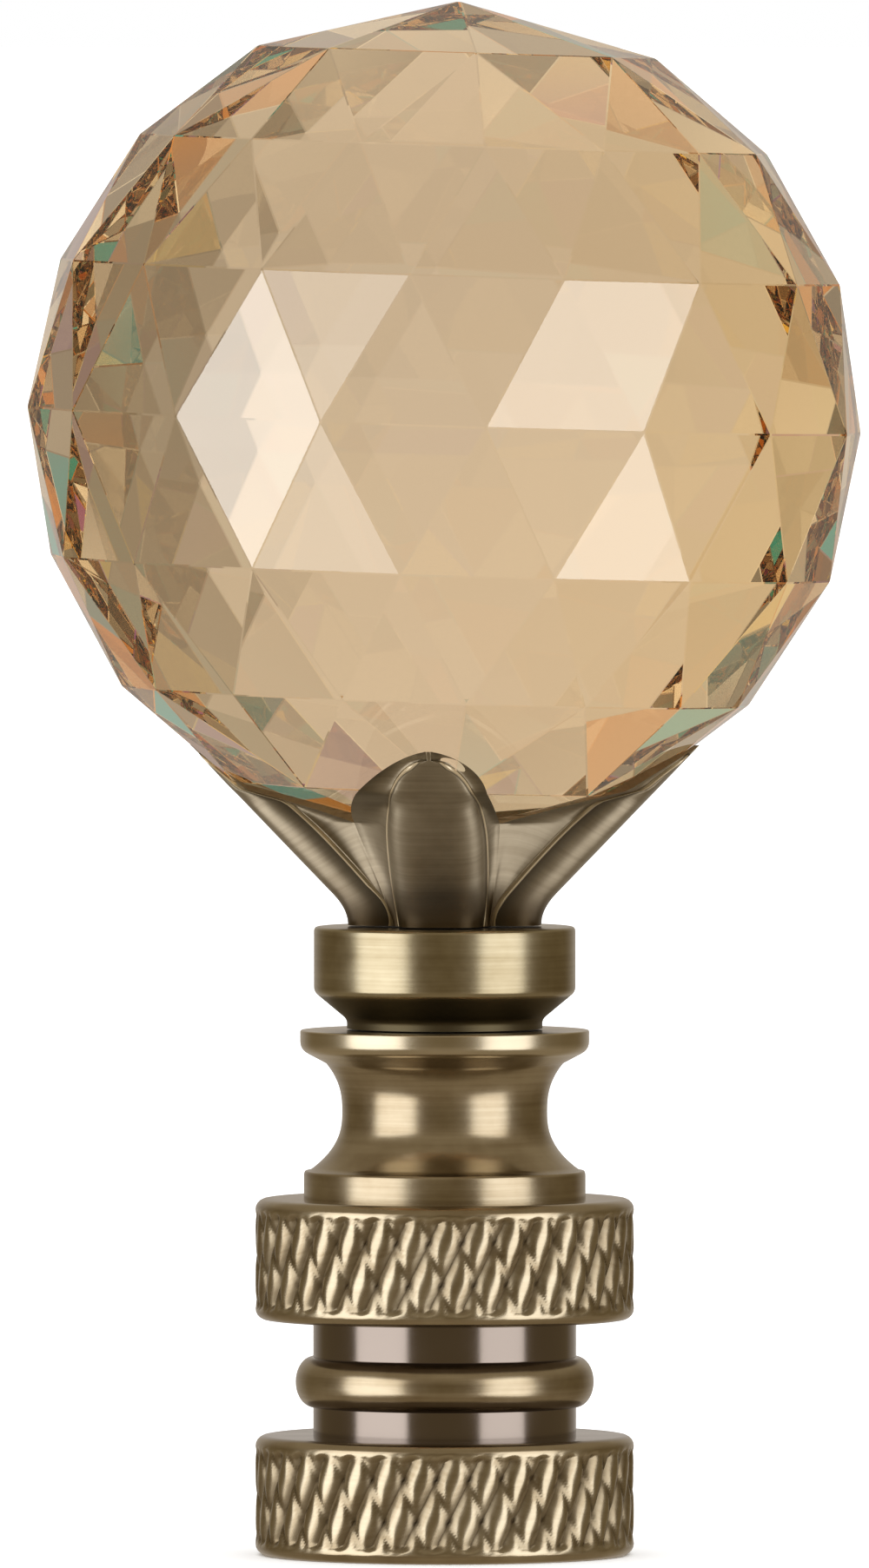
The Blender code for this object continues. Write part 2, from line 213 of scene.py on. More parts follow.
def skin(maker, rows):
    for low, high in zip(rows, rows[1:]):
        for i, corner in enumerate(low):
            maker.faces.new((low[i - 1], corner, high[i], high[i - 1]))


def close(maker, row, tip):
    centre = maker.verts.new(tip)
    for i, corner in enumerate(row):
        maker.faces.new((row[i - 1], corner, centre))


def stitch(maker, fine, coarse):
    """Joins a ring to one that has fewer corners, by a whole factor."""
    factor = len(fine) // len(coarse)
    for j, inner in enumerate(coarse):
        start = j * factor
        for i in range(start, start + factor):
            maker.faces.new((fine[i], fine[(i + 1) % len(fine)], inner))
        maker.faces.new((fine[(start + factor) % len(fine)], coarse[(j + 1) % len(coarse)], inner))


def finished(name, maker, surface, smooth_below=None):
    bmesh.ops.recalc_face_normals(maker, faces=maker.faces)
    mesh = bpy.data.meshes.new(name)
    maker.to_mesh(mesh)
    maker.free()
    if smooth_below is not None:
        mesh.shade_smooth()
        mesh.set_sharp_from_angle(angle=math.radians(smooth_below))
    made = bpy.data.objects.new(name, mesh)
    bpy.context.scene.collection.objects.link(made)
    mesh.materials.append(surface)
    return made


def place(piece, node):
    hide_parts(node)
    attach(piece, "root")
    return piece


# Material helpers

BLEND = 0.1 * MM
LINE_DEPTH = 0.003 * MM
LINE_SCALE = 5200.0
LINE_STRENGTH = 0.5
LINE_TONE = 0.45
MOTTLE_SCALE = 420.0
MOTTLE_TONE = 0.55
MOTTLE_ROUGHNESS = 0.12
TONE_DARK = 0.34
TONE_LIGHT = 0.62
# How dark the painted shade in grooves is, against the dark tone
GROOVE_SHADE = 0.5
GROOVE_ROUGHNESS = 0.2
# How fast the coordinate of the turning lines changes across a flat face, and round the axis
LINES_ACROSS_FACE = 0.73
LINES_ROUND_AXIS = 0.02


def new_material(name):
    made = bpy.data.materials.new(name)
    made.use_nodes = True
    return made, made.node_tree.nodes, made.node_tree.links, made.node_tree.nodes["Principled BSDF"]


def math_node(nodes, links, operation, first, second=None, third=None):
    made = nodes.new("ShaderNodeMath")
    made.operation = operation
    for socket, value in zip(made.inputs, (first, second, third)):
        if value is None:
            continue
        if isinstance(value, (int, float)):
            socket.default_value = value
        else:
            links.new(value, socket)
    return made.outputs[0]


def noise(nodes, links, vector, scale, detail=3.0, roughness=0.5):
    made = nodes.new("ShaderNodeTexNoise")
    made.inputs["Scale"].default_value = scale
    made.inputs["Detail"].default_value = detail
    made.inputs["Roughness"].default_value = roughness
    links.new(vector, made.inputs["Vector"])
    return made.outputs["Fac"]


def ramp(nodes, links, fac, stops):
    made = nodes.new("ShaderNodeValToRGB")
    elements = made.color_ramp.elements
    while len(elements) < len(stops):
        elements.new(0.5)
    for element, (position, colour) in zip(elements, stops):
        element.position = position
        element.color = (*colour, 1.0)
    links.new(fac, made.inputs["Fac"])
    return made.outputs["Color"]


def mix_colour(nodes, links, fac, first, second, blend="MIX"):
    made = nodes.new("ShaderNodeMix")
    made.data_type = "RGBA"
    made.blend_type = blend
    for socket, value in ((made.inputs[0], fac), (made.inputs[6], first), (made.inputs[7], second)):
        if isinstance(value, (int, float)):
            socket.default_value = value
        elif isinstance(value, tuple):
            socket.default_value = (*value, 1.0)
        else:
            links.new(value, socket)
    return made.outputs[2]


def turned_coordinate(nodes, links):
    """Object position, its height, and a vector that changes only across the turning lines of a lathe."""
    place_of = nodes.new("ShaderNodeTexCoord").outputs["Object"]
    parts = nodes.new("ShaderNodeSeparateXYZ")
    links.new(place_of, parts.inputs[0])
    x, y, z = parts.outputs
    y_squared = math_node(nodes, links, "MULTIPLY", y, y)
    radius = math_node(nodes, links, "SQRT", math_node(nodes, links, "MULTIPLY_ADD", x, x, y_squared))
    across = math_node(nodes, links, "MULTIPLY_ADD", radius, LINES_ACROSS_FACE, z)
    lines = nodes.new("ShaderNodeCombineXYZ")
    links.new(across, lines.inputs[0])
    links.new(math_node(nodes, links, "MULTIPLY", x, LINES_ROUND_AXIS), lines.inputs[1])
    links.new(math_node(nodes, links, "MULTIPLY", y, LINES_ROUND_AXIS), lines.inputs[2])
    return place_of, z, lines.outputs[0]


def recess_mask(nodes, links, height, recesses, blend):
    """1 between each pair of heights and 0 elsewhere, from a ramp over the piece's own height."""
    low = recesses[0][0] - blend
    high = recesses[-1][1] + blend
    stops = []
    for start, end in recesses:
        for level, value in ((start - blend, 0.0), (start, 1.0), (end, 1.0), (end + blend, 0.0)):
            stops.append(((level - low) / (high - low), (value, value, value)))
    share = nodes.new("ShaderNodeMapRange")
    share.inputs["From Min"].default_value = low
    share.inputs["From Max"].default_value = high
    links.new(height, share.inputs["Value"])
    return ramp(nodes, links, share.outputs[0], stops)


def brass(name, dark, light, roughness, line_depth, recesses, recess_tone_and_shade, recess_roughness,
          blend=BLEND, anisotropic=0.3, wear_and_highlight=None):
    """Antiqued brass: fine turning lines, a mottled patina, a darker colour between given heights
    (painted shade under the collar and at the cup's foot, a greyer tone on the base's necks), lighter
    ridges, lip and knurl crowns (worn metal and a painted highlight), and painted shade in grooves."""
    made, nodes, links, shader = new_material(name)
    place_of, height, lines = turned_coordinate(nodes, links)
    mottle = noise(nodes, links, place_of, MOTTLE_SCALE, detail=4.0, roughness=0.6)
    streaks = noise(nodes, links, lines, LINE_SCALE, detail=3.0, roughness=0.6)
    mottle_tone = math_node(nodes, links, "MULTIPLY", mottle, MOTTLE_TONE)
    tone = math_node(nodes, links, "MULTIPLY_ADD", streaks, LINE_TONE, mottle_tone)
    colour = ramp(nodes, links, tone, ((TONE_DARK, dark), (TONE_LIGHT, light)))
    smoothest = roughness - MOTTLE_ROUGHNESS / 2
    rough = math_node(nodes, links, "MULTIPLY_ADD", mottle, MOTTLE_ROUGHNESS, smoothest)
    # A darker colour between given heights: painted shade under the collar and at the cup's foot, a greyer
    # tone on the base's necks
    mask = recess_mask(nodes, links, height, recesses, blend)
    colour = mix_colour(nodes, links, mask, colour, recess_tone_and_shade)
    rough = math_node(nodes, links, "MULTIPLY_ADD", mask, recess_roughness - roughness, rough)
    # Lighter colour on the ridges, lip and knurl crowns: worn metal and a painted highlight
    if wear_and_highlight:
        ridge = nodes.new("ShaderNodeAttribute")
        ridge.attribute_name = "worn_and_highlit"
        colour = mix_colour(nodes, links, ridge.outputs["Fac"], colour, wear_and_highlight)
    # Painted shade: the knurl's grooves and a line along the foot of each cup lobe are darkened by this
    # attribute
    depth = nodes.new("ShaderNodeAttribute")
    depth.attribute_name = "painted_groove_shade"
    shade = tuple(channel * GROOVE_SHADE for channel in dark)
    colour = mix_colour(nodes, links, depth.outputs["Fac"], colour, shade)
    rough = math_node(nodes, links, "MULTIPLY_ADD", depth.outputs["Fac"], GROOVE_ROUGHNESS, rough)
    links.new(rough, shader.inputs["Roughness"])
    links.new(colour, shader.inputs["Base Color"])
    shader.inputs["Metallic"].default_value = 1.0
    shader.inputs["Anisotropic"].default_value = anisotropic
    bump = nodes.new("ShaderNodeBump")
    bump.inputs["Strength"].default_value = LINE_STRENGTH
    bump.inputs["Distance"].default_value = line_depth
    links.new(streaks, bump.inputs["Height"])
    links.new(bump.outputs["Normal"], shader.inputs["Normal"])
    tangent = nodes.new("ShaderNodeTangent")
    tangent.direction_type = "RADIAL"
    tangent.axis = "Z"
    links.new(tangent.outputs["Tangent"], shader.inputs["Tangent"])
    return made


def crystal(name):
    """Clear champagne crystal, tinted through its depth."""
    made, nodes, links, shader = new_material(name)
    shader.inputs["Base Color"].default_value = (*CRYSTAL_COLOUR, 1.0)
    shader.inputs["Roughness"].default_value = 0.0
    shader.inputs["IOR"].default_value = CRYSTAL_IOR
    shader.inputs["Transmission Weight"].default_value = 1.0
    tint = nodes.new("ShaderNodeVolumeAbsorption")
    tint.inputs["Color"].default_value = (*DEPTH_TINT, 1.0)
    tint.inputs["Density"].default_value = DEPTH_TINT_DENSITY
    links.new(tint.outputs["Volume"], nodes["Material Output"].inputs["Volume"])
    return made


# Crystal ball


def ball_corners(maker, radius):
    for sign in (1, -1):
        for latitude, corners, half_steps in BALL_RINGS:
            if latitude == 0.0 and sign == -1:
                continue
            angle = math.radians(latitude)
            turn = BALL_TURN + half_steps * math.pi / corners
            for point in ring(radius * math.cos(angle), sign * radius * math.sin(angle), corners, turn):
                maker.verts.new(point)
        maker.verts.new((0.0, 0.0, sign * radius))
    bmesh.ops.convex_hull(maker, input=maker.verts)


def ball_object(name, radius, surface, edge):
    maker = bmesh.new()
    ball_corners(maker, radius)
    if edge:
        bmesh.ops.bevel(maker, geom=maker.edges[:] + maker.verts[:], offset=edge, segments=1,
                        affect="EDGES", profile=0.5)
    lean = Euler((0.0, BALL_LEAN, 0.0)).to_matrix()
    centre = Vector((0.0, 0.0, BALL_CENTRE_Z))
    for corner in maker.verts:
        corner.co = lean @ corner.co + centre
    return finished(name, maker, surface)


def ball_reach(z):
    """The ball's radius at this height, along the flats of its lower facets."""
    rows = [(0.0, 0.0)]
    for latitude, corners, _ in reversed(BALL_RINGS):
        angle = math.radians(latitude)
        flat = math.cos(math.pi / corners / 2)
        rows.append((BALL_RADIUS * (1 - math.sin(angle)), BALL_RADIUS * math.cos(angle) * flat))
    rise = z - BALL_FOOT_Z
    for (low, inner), (high, outer) in zip(rows, rows[1:]):
        if rise < high:
            return inner + (outer - inner) * max(0.0, rise - low) / (high - low)
    return rows[-1][1]


# Petal cup

TIP_RADIUS = ball_reach(PETAL_TIP_Z) + RIM_THICKNESS


def lobe_radius(z):
    """The cup's outer radius on a petal's centre line: upright at the neck, then straight to the tip."""
    bend_z = CUP_Z + FLARE_HEIGHT
    slope = (TIP_RADIUS - CUP_NECK_RADIUS) / (PETAL_TIP_Z - bend_z)
    if z > bend_z + FLARE_HEIGHT:
        return CUP_NECK_RADIUS + slope * (z - bend_z)
    return CUP_NECK_RADIUS + slope * (z - CUP_Z) ** 2 / (4 * FLARE_HEIGHT)


def arch(share, roundness):
    return max(0.0, 1 - min(1.0, max(0.0, share)) ** 2) ** roundness


def lobe_half_width(z):
    """Half the width of the rounded lobe that runs up the middle of a petal."""
    spread = min(1.0, (z - CUP_Z) / (BALL_FOOT_Z - CUP_Z))
    full = LOBE_NECK_HALF_WIDTH + (LOBE_HALF_WIDTH - LOBE_NECK_HALF_WIDTH) * math.sin(spread * math.pi / 2)
    top = PETAL_TIP_Z - LOBE_TOP_MARGIN
    return max(TIP_HALF_WIDTH / 2, full * arch((z - BALL_FOOT_Z) / (top - BALL_FOOT_Z), LOBE_ROUNDNESS))


def petal_share(z):
    return (z - NOTCH_Z) / (PETAL_TIP_Z - NOTCH_Z)


def rim_reach(z):
    """The radius of the petals' outline: the valley's at the notch, then just outside the ball."""
    notch_rim = VALLEY_TOP_RADIUS - ball_reach(NOTCH_Z) - RIM_THICKNESS
    return ball_reach(z) + RIM_THICKNESS + notch_rim * (1 - petal_share(z)) ** NOTCH_RIM_POWER


def petal_edge(z, side):
    share = petal_share(z)
    reach = rim_reach(z)
    sideways = max(TIP_HALF_WIDTH, PETAL_HALF_WIDTH * arch(share, PETAL_ROUNDNESS))
    turn = side * VALLEY_TURN * (1 - share) ** EDGE_TURN_POWER
    angle = math.asin(min(1.0, sideways / reach)) + turn
    return Vector((reach * math.cos(angle), reach * math.sin(angle)))


def valley_point(z, side):
    share = (z - CUP_Z) / (NOTCH_Z - CUP_Z)
    radius = VALLEY_FOOT_RADIUS + (VALLEY_TOP_RADIUS - VALLEY_FOOT_RADIUS) * share
    angle = math.pi / PETALS + side * VALLEY_TURN * share
    return Vector((radius * math.cos(angle), radius * math.sin(angle)))


def half_section(z, side, above_notch):
    """A petal's section on one side: the lobe, its raised ridge, a groove, the flank, and the valley
    or the inside. Each point is (radial, sideways, wear and painted highlight, painted shade)."""
    outer = lobe_radius(z)
    half = lobe_half_width(z)
    depth = LOBE_DEPTH_RATIO * half
    edge = petal_edge(z, side) if above_notch else valley_point(z, side)
    if above_notch:
        half = min(half, edge.y * LOBE_EDGE_SHARE)
        depth = min(depth, outer - math.sqrt(rim_reach(z) ** 2 - half**2))
    ridge = Vector((outer - depth, half))
    flank_width = (edge - ridge).length
    room = min(1.0, half / (TRIM_ROOM * RIDGE_WIDTH), flank_width / (TRIM_ROOM * GROOVE_WIDTH))
    points = []
    last = math.acos(min(RIDGE_SINK_LIMIT, RIDGE_WIDTH * room / depth) ** (LOBE_SQUARENESS / 2))
    for i in range(1, LOBE_POINTS + 1):
        angle = last * i / LOBE_POINTS
        across = math.sin(angle) ** (2 / LOBE_SQUARENESS)
        sink = 1 - math.cos(angle) ** (2 / LOBE_SQUARENESS)
        points.append(Vector((outer - depth * sink, half * across)))
    outward = Vector(RIDGE_OUTWARD)
    shoulder = points[-1]
    for share in RIDGE_SHARES:
        rise = RIDGE_HEIGHT * room * math.sin(share * math.pi)
        points.append(shoulder.lerp(ridge, share) + outward * rise)
    across = edge - ridge
    along = across.normalized()
    normal = Vector((along.y, -along.x))
    if normal.dot(outward) < 0:
        normal = -normal
    for share in GROOVE_SHARES:
        sink = GROOVE_DEPTH * room * math.sin(share * math.pi)
        points.append(ridge + along * (GROOVE_WIDTH * room * share) - normal * sink)
    start = ridge + along * (GROOVE_WIDTH * room)
    across = edge - start
    hollow = -normal * min(FLANK_HOLLOW, across.length * FLANK_HOLLOW_SHARE)
    for i in range(FLANK_POINTS):
        share = i / FLANK_POINTS
        points.append(start + across * share + hollow * math.sin(share * math.pi) ** FLANK_HOLLOW_POWER)
    if above_notch:
        angle = math.pi / PETALS + side * VALLEY_TURN
        inner = min(CUP_CORE_RADIUS, edge.length * CUP_CORE_SHARE)
        points.append(edge)
        points.append(Vector((inner * math.cos(angle), inner * math.sin(angle))))
    else:
        points.append(start + across * FLANK_END_SHARE)
        points.append(edge)
    # Ridges painted lighter (worn metal and a painted highlight), and painted shade on the lobe's last
    # points
    worn_and_highlit = [0.0] * LOBE_POINTS + RIDGE_WEAR_AND_HIGHLIGHT
    painted_groove_shade = [0.0] * (LOBE_POINTS - len(LOBE_FOOT_SHADE)) + LOBE_FOOT_SHADE
    worn_and_highlit += [0.0] * (len(points) - len(worn_and_highlit))
    painted_groove_shade += [0.0] * (len(points) - len(painted_groove_shade))
    return [(point.x, side * point.y, wear_and_highlight, dark) for point, wear_and_highlight, dark in zip(points, worn_and_highlit, painted_groove_shade)]


def cup_ring(z, above_notch):
    """One level of the cup all round: (point, wear and painted highlight, painted shade)."""
    points = []
    for i in range(PETALS):
        turn = PETAL_TURN + math.tau * i / PETALS
        left = half_section(z, -1, above_notch)[:-1]
        right = half_section(z, 1, above_notch)
        for radial, sideways, worn_and_highlit, painted_groove_shade in left[::-1] + [(lobe_radius(z), 0.0, 0.0, 0.0)] + right:
            azimuth = turn + math.atan2(sideways, radial)
            points.append((on_circle(math.hypot(radial, sideways), azimuth, z), worn_and_highlit, painted_groove_shade))
    return points


def make_cup(surface):
    rings = []
    for i in range(WALL_LEVELS):
        rings.append(cup_ring(CUP_Z + (NOTCH_Z - CUP_Z) * i / (WALL_LEVELS - 1), False))
    for i in range(PETAL_LEVELS):
        rise = math.sin(math.pi / 2 * i / (PETAL_LEVELS - 1))
        share = FIRST_PETAL_SHARE + (1 - FIRST_PETAL_SHARE) * rise
        rings.append(cup_ring(NOTCH_Z + (PETAL_TIP_Z - NOTCH_Z) * share, True))
    maker = bmesh.new()
    worn_and_highlit = maker.verts.layers.float.new("worn_and_highlit")
    painted_groove_shade = maker.verts.layers.float.new("painted_groove_shade")
    rows = []
    for points in rings:
        row = []
        for point, wear_and_highlight, dark in points:
            corner = maker.verts.new(point)
            # Wear and painted highlight on the ridges, painted shade beside them
            corner[worn_and_highlit] = wear_and_highlight
            corner[painted_groove_shade] = dark
            row.append(corner)
        rows.append(row)
    skin(maker, rows)
    maker.faces.new(rows[0])
    maker.faces.new(rows[-1])
    cup = finished("brass_petal_cup", maker, surface)
    cutter = ball_object("ball_cutter", BALL_RADIUS + BALL_CLEARANCE, surface, 0.0)
    cut = cup.modifiers.new("seat", "BOOLEAN")
    cut.operation = "DIFFERENCE"
    cut.object = cutter
    graph = bpy.context.evaluated_depsgraph_get()
    seated = bpy.data.meshes.new_from_object(cup.evaluated_get(graph))
    cup.modifiers.clear()
    cup.data = seated
    bpy.data.objects.remove(cutter)
    seated.shade_smooth()
    seated.set_sharp_from_angle(angle=math.radians(CUP_SHARP_ANGLE))
    return place(cup, "petal_cup")


# Collar


def make_collar(surface):
    profile = [
        (COLLAR_FOOT_RADIUS, COLLAR_Z),
        (COLLAR_FOOT_RADIUS, COLLAR_Z + COLLAR_FOOT_HEIGHT),
        (COLLAR_RADIUS, COLLAR_Z + COLLAR_FOOT_HEIGHT + COLLAR_CONE_HEIGHT),
        (COLLAR_RADIUS, COLLAR_TOP_Z),
        (CUP_NECK_RADIUS, COLLAR_TOP_Z),
    ]
    maker = bmesh.new()
    rows = []
    for radius, z in rounded(profile, [COLLAR_EDGE] * 3):
        rows.append([maker.verts.new(point) for point in ring(radius, z, ROUND_SIDES)])
    skin(maker, rows)
    close(maker, rows[0], (0.0, 0.0, COLLAR_Z))
    close(maker, rows[-1], (0.0, 0.0, COLLAR_TOP_Z))
    collar = finished("turned_collar", maker, surface, TURNED_SHARP_ANGLE)
    return place(collar, "collar")


# Knurled base

BASE_SIDES = KNURL_COUNT * KNURL_POINTS


def groove_depth(phase, power):
    """0 on the crown between two grooves, 1 at the bottom of one; a higher power makes narrower grooves."""
    return (1 - abs((phase / math.tau) % 1.0 * 2 - 1)) ** power


def knurl_levels(z, height, turn):
    """Rings of one knurled band, each with how deep every point lies in a groove, and the turn that
    the band ends with."""
    low = z + BAND_CORNER
    high = z + height - BAND_CORNER
    deep_rate = math.tan(KNURL_DEEP_LEAN) / BAND_RADIUS
    shallow_rate = math.tan(KNURL_SHALLOW_LEAN) / BAND_RADIUS
    steps = round((high - low) / KNURL_LEVEL)
    levels = []
    for i in range(steps + 1):
        level = low + (high - low) * i / steps
        fade = min(1.0, (level - low) / KNURL_FADE, (high - level) / KNURL_FADE)
        wound = turn + (level - z) * deep_rate
        back = (level - z) * (deep_rate + shallow_rate)
        points = []
        depths = []
        for j in range(BASE_SIDES):
            angle = math.tau * j / BASE_SIDES
            deep = groove_depth(angle * KNURL_COUNT, KNURL_DEEP_POWER) * KNURL_DEEP_DEPTH
            shallow = groove_depth((angle + back) * KNURL_COUNT, KNURL_SHALLOW_POWER) * KNURL_SHALLOW_DEPTH
            depth = (deep + shallow) * fade
            points.append(on_circle(BAND_RADIUS - depth, wound + angle, level))
            depths.append(depth / (KNURL_DEEP_DEPTH + KNURL_SHALLOW_DEPTH))
        levels.append((points, depths))
    return levels, turn + height * deep_rate


def corner_arc(z, top, steps=5):
    """The rounded corner of a band, from its flat face to its rim, or the other way at the top."""
    inner = BAND_RADIUS - BAND_CORNER
    arc = []
    for i in range(steps):
        angle = math.pi / 2 * i / steps
        rise = BAND_CORNER * (1 - math.cos(angle))
        arc.append((inner + BAND_CORNER * math.sin(angle), z - rise if top else z + rise))
    return arc[::-1] if top else arc


def spool_profile(steps=14):
    points = []
    for i in range(steps, -1, -1):
        share = i / steps
        out = (FLANGE_RADIUS - FLANGE_EDGE - WAIST_RADIUS) * share**SPOOL_CURVE
        points.append((WAIST_RADIUS + out, WAIST_Z - (WAIST_Z - SPOOL_Z) * share))
    for i in range(1, steps + 1):
        share = i / steps
        out = (SHOULDER_RADIUS - WAIST_RADIUS) * share**SPOOL_CURVE
        points.append((WAIST_RADIUS + out, WAIST_Z + (SHOULDER_Z - WAIST_Z) * share))
    return points


def thread_rows(sides=84, levels_a_turn=10):
    """The helical thread inside the hole, from the mouth up."""
    rows = []
    steps = round((THREAD_DEPTH - THREAD_MOUTH_CHAMFER) / THREAD_PITCH * levels_a_turn)
    for i in range(steps + 1):
        z = THREAD_MOUTH_CHAMFER + (THREAD_DEPTH - THREAD_MOUTH_CHAMFER) * i / steps
        fade = min(1.0, i / levels_a_turn, (steps - i) / levels_a_turn)
        points = []
        for j in range(sides):
            turn = j / sides
            wave = abs(((z / THREAD_PITCH - turn) % 1.0) * 2 - 1)
            points.append(on_circle(THREAD_RADIUS - THREAD_RIDGE * wave * fade, math.tau * turn, z))
        rows.append(points)
    return rows


def make_base(surface):
    maker = bmesh.new()
    painted_groove_shade = maker.verts.layers.float.new("painted_groove_shade")
    worn_and_highlit = maker.verts.layers.float.new("worn_and_highlit")
    bore = [[maker.verts.new(point) for point in points] for points in thread_rows()[::-1]]
    mouth = ring(THREAD_RADIUS + THREAD_MOUTH_CHAMFER, 0.0, len(bore[0]))
    bore.append([maker.verts.new(point) for point in mouth])
    skin(maker, bore)
    close(maker, bore[0], (0.0, 0.0, THREAD_DEPTH + DRILL_POINT_HEIGHT))

    rows = []

    def add_rings(profile, turn, wear_and_highlight=0.0):
        for radius, z in profile:
            row = [maker.verts.new(point) for point in ring(radius, z, BASE_SIDES, turn)]
            for corner in row:
                corner[worn_and_highlit] = wear_and_highlight
            rows.append(row)

    def add_band(z, height, turn):
        add_rings(corner_arc(z, False), turn)
        levels, end = knurl_levels(z, height, turn)
        for points, depths in levels:
            row = [maker.verts.new(point) for point in points]
            for corner, depth in zip(row, depths):
                # Painted shade in the knurl's grooves, as dark as the groove is deep
                corner[painted_groove_shade] = depth
                # Crowns painted lighter: worn metal and a painted highlight
                corner[worn_and_highlit] = CROWN_WEAR_AND_HIGHLIGHT if depth < CROWN_DEPTH else 0.0
            rows.append(row)
        add_rings(corner_arc(z + height, True), end)
        return end

    turn = add_band(0.0, LOWER_BAND_HEIGHT, 0.0)
    half = BEAD_HEIGHT / 2
    neck = [(NECK_RADIUS, LOWER_BAND_HEIGHT), (NECK_RADIUS, BEAD_Z)]
    for i in range(1, BEAD_STEPS):
        angle = math.pi * (i / BEAD_STEPS - 0.5)
        radius = NECK_RADIUS + BEAD_PROJECTION * math.cos(angle)
        neck.append((radius, BEAD_Z + half + half * math.sin(angle)))
    neck += [(NECK_RADIUS, BEAD_Z + BEAD_HEIGHT), (NECK_RADIUS, UPPER_BAND_Z)]
    add_rings(neck, turn)
    turn = add_band(UPPER_BAND_Z, UPPER_BAND_HEIGHT, turn)
    spool = spool_profile()
    flange = [(FLANGE_RADIUS, FLANGE_Z), (FLANGE_RADIUS, SPOOL_Z), spool[0]]
    add_rings(rounded(flange, [FLANGE_EDGE]), turn)
    add_rings(spool[1:], turn)
    lip = [
        spool[-1],
        (LIP_RADIUS, LIP_Z),
        (LIP_RADIUS, BASE_TOP_Z),
        (COLLAR_FOOT_RADIUS, BASE_TOP_Z),
    ]
    # The lip is painted lighter: a painted highlight
    add_rings(rounded(lip, [LIP_ROUND, LIP_EDGE])[1:-1], turn, wear_and_highlight=LIP_PAINTED_HIGHLIGHT)
    add_rings(lip[-1:], turn)
    skin(maker, rows)
    stitch(maker, rows[0], bore[-1])
    close(maker, rows[-1], (0.0, 0.0, BASE_TOP_Z))
    base = finished("knurled_threaded_base", maker, surface, TURNED_SHARP_ANGLE)
    return place(base, "knurled_base")


# Studio

CAMERA_DISTANCE = 0.98
CAMERA_HEIGHT = 0.0565
CAMERA_AIM_Z = 0.0280
CAMERA_AIM_X = -0.00037
LENS = 620
SENSOR_WIDTH = 36
FLOOR_HALF_SIZE = 30.0
FLOOR_COLOUR = (0.95, 0.95, 0.95)
FLOOR_ROUGHNESS = 0.9
LIGHT_AIM_Z = 0.025
CRYSTAL_BOUNCES = 40

# Small panels that the ball's bright facets and the edges between them mirror: azimuths, elevations
# and radiance
BALL_GLINTS = (
    ((-62, -53), (-16, 18), 7.0),
    ((-39, -31), (21, 29), 2.4),
    ((-41, -33), (-29, -21), 2.4),
    ((31, 39), (8, 16), 4.2),
    ((43, 51), (12, 21), 4.4),
    ((55, 63), (17, 25), 4.6),
    ((55, 63), (-30, -22), 4.6),
)
BALL_FILL = 0.6

# Ramps of the world's light, each stop a position and a colour. HEIGHT runs from straight down to
# straight up, SIDE from left to right, and REAR from the camera's side to the side behind the finial.
BACKDROP_BY_HEIGHT = (
    (0.10, (1.12, 1.08, 1.02)),
    (0.30, (0.84, 0.81, 0.76)),
    (0.45, (0.95, 0.95, 0.95)),
    (0.60, (1.04, 1.02, 0.98)),
    (0.80, (1.0, 0.96, 0.90)),
)
BACKDROP_BY_SIDE = (
    (0.12, (1.0, 0.88, 0.60)),
    (0.30, (1.0, 0.96, 0.86)),
    (0.50, (1.0, 1.0, 1.0)),
    (0.66, (0.92, 0.92, 0.90)),
    (0.76, (0.50, 0.48, 0.43)),
    (0.90, (0.38, 0.34, 0.28)),
)
PATCHES = (
    (0.30, (0.30, 0.20, 0.12)),
    (0.38, (1.3, 0.55, 0.08)),
    (0.41, (0.50, 0.45, 0.36)),
    (0.47, (0.62, 0.60, 0.54)),
    (0.50, (1.7, 1.62, 1.35)),
    (0.53, (0.48, 0.45, 0.38)),
    (0.57, (0.36, 0.36, 0.32)),
    (0.59, (0.04, 0.85, 0.95)),
    (0.61, (0.48, 0.45, 0.38)),
    (0.645, (0.50, 0.14, 0.75)),
    (0.67, (1.8, 1.4, 0.25)),
    (0.75, (0.95, 0.92, 0.88)),
)
PATCHED_BY_REAR = (
    (0.50, (0.0, 0.0, 0.0)),
    (0.60, (1.0, 1.0, 1.0)),
    (0.66, (1.0, 1.0, 1.0)),
    (0.86, (0.0, 0.0, 0.0)),
)
ROOM_BY_HEIGHT = (
    (0.0, (0.40, 0.32, 0.21)),
    (0.30, (0.36, 0.29, 0.19)),
    (0.45, (0.22, 0.165, 0.085)),
    (0.56, (0.22, 0.165, 0.085)),
    (0.75, (0.42, 0.35, 0.24)),
)
REAR_WALL_BY_REAR = (
    (0.86, (0.0, 0.0, 0.0)),
    (1.0, (0.55, 0.55, 0.55)),
)
REAR_WALL = (0.85, 0.80, 0.76)
DIFFUSE_LIGHT = (1.7, 1.7, 1.7)
CAMERA_WHITE = (1.0, 1.0, 1.0)
PATCH_SCALE = 6.0
LONG_PATH = 3.5


def make_camera():
    data = bpy.data.cameras.new("camera")
    data.lens = LENS
    data.sensor_width = SENSOR_WIDTH
    data.clip_start = 0.05
    data.clip_end = 100
    camera = bpy.data.objects.new("camera", data)
    bpy.context.scene.collection.objects.link(camera)
    aim = Vector((CAMERA_AIM_X, 0.0, CAMERA_AIM_Z))
    camera.location = (aim.x, -CAMERA_DISTANCE, CAMERA_HEIGHT)
    camera.rotation_euler = (aim - camera.location).to_track_quat("-Z", "Y").to_euler()
    bpy.context.scene.camera = camera


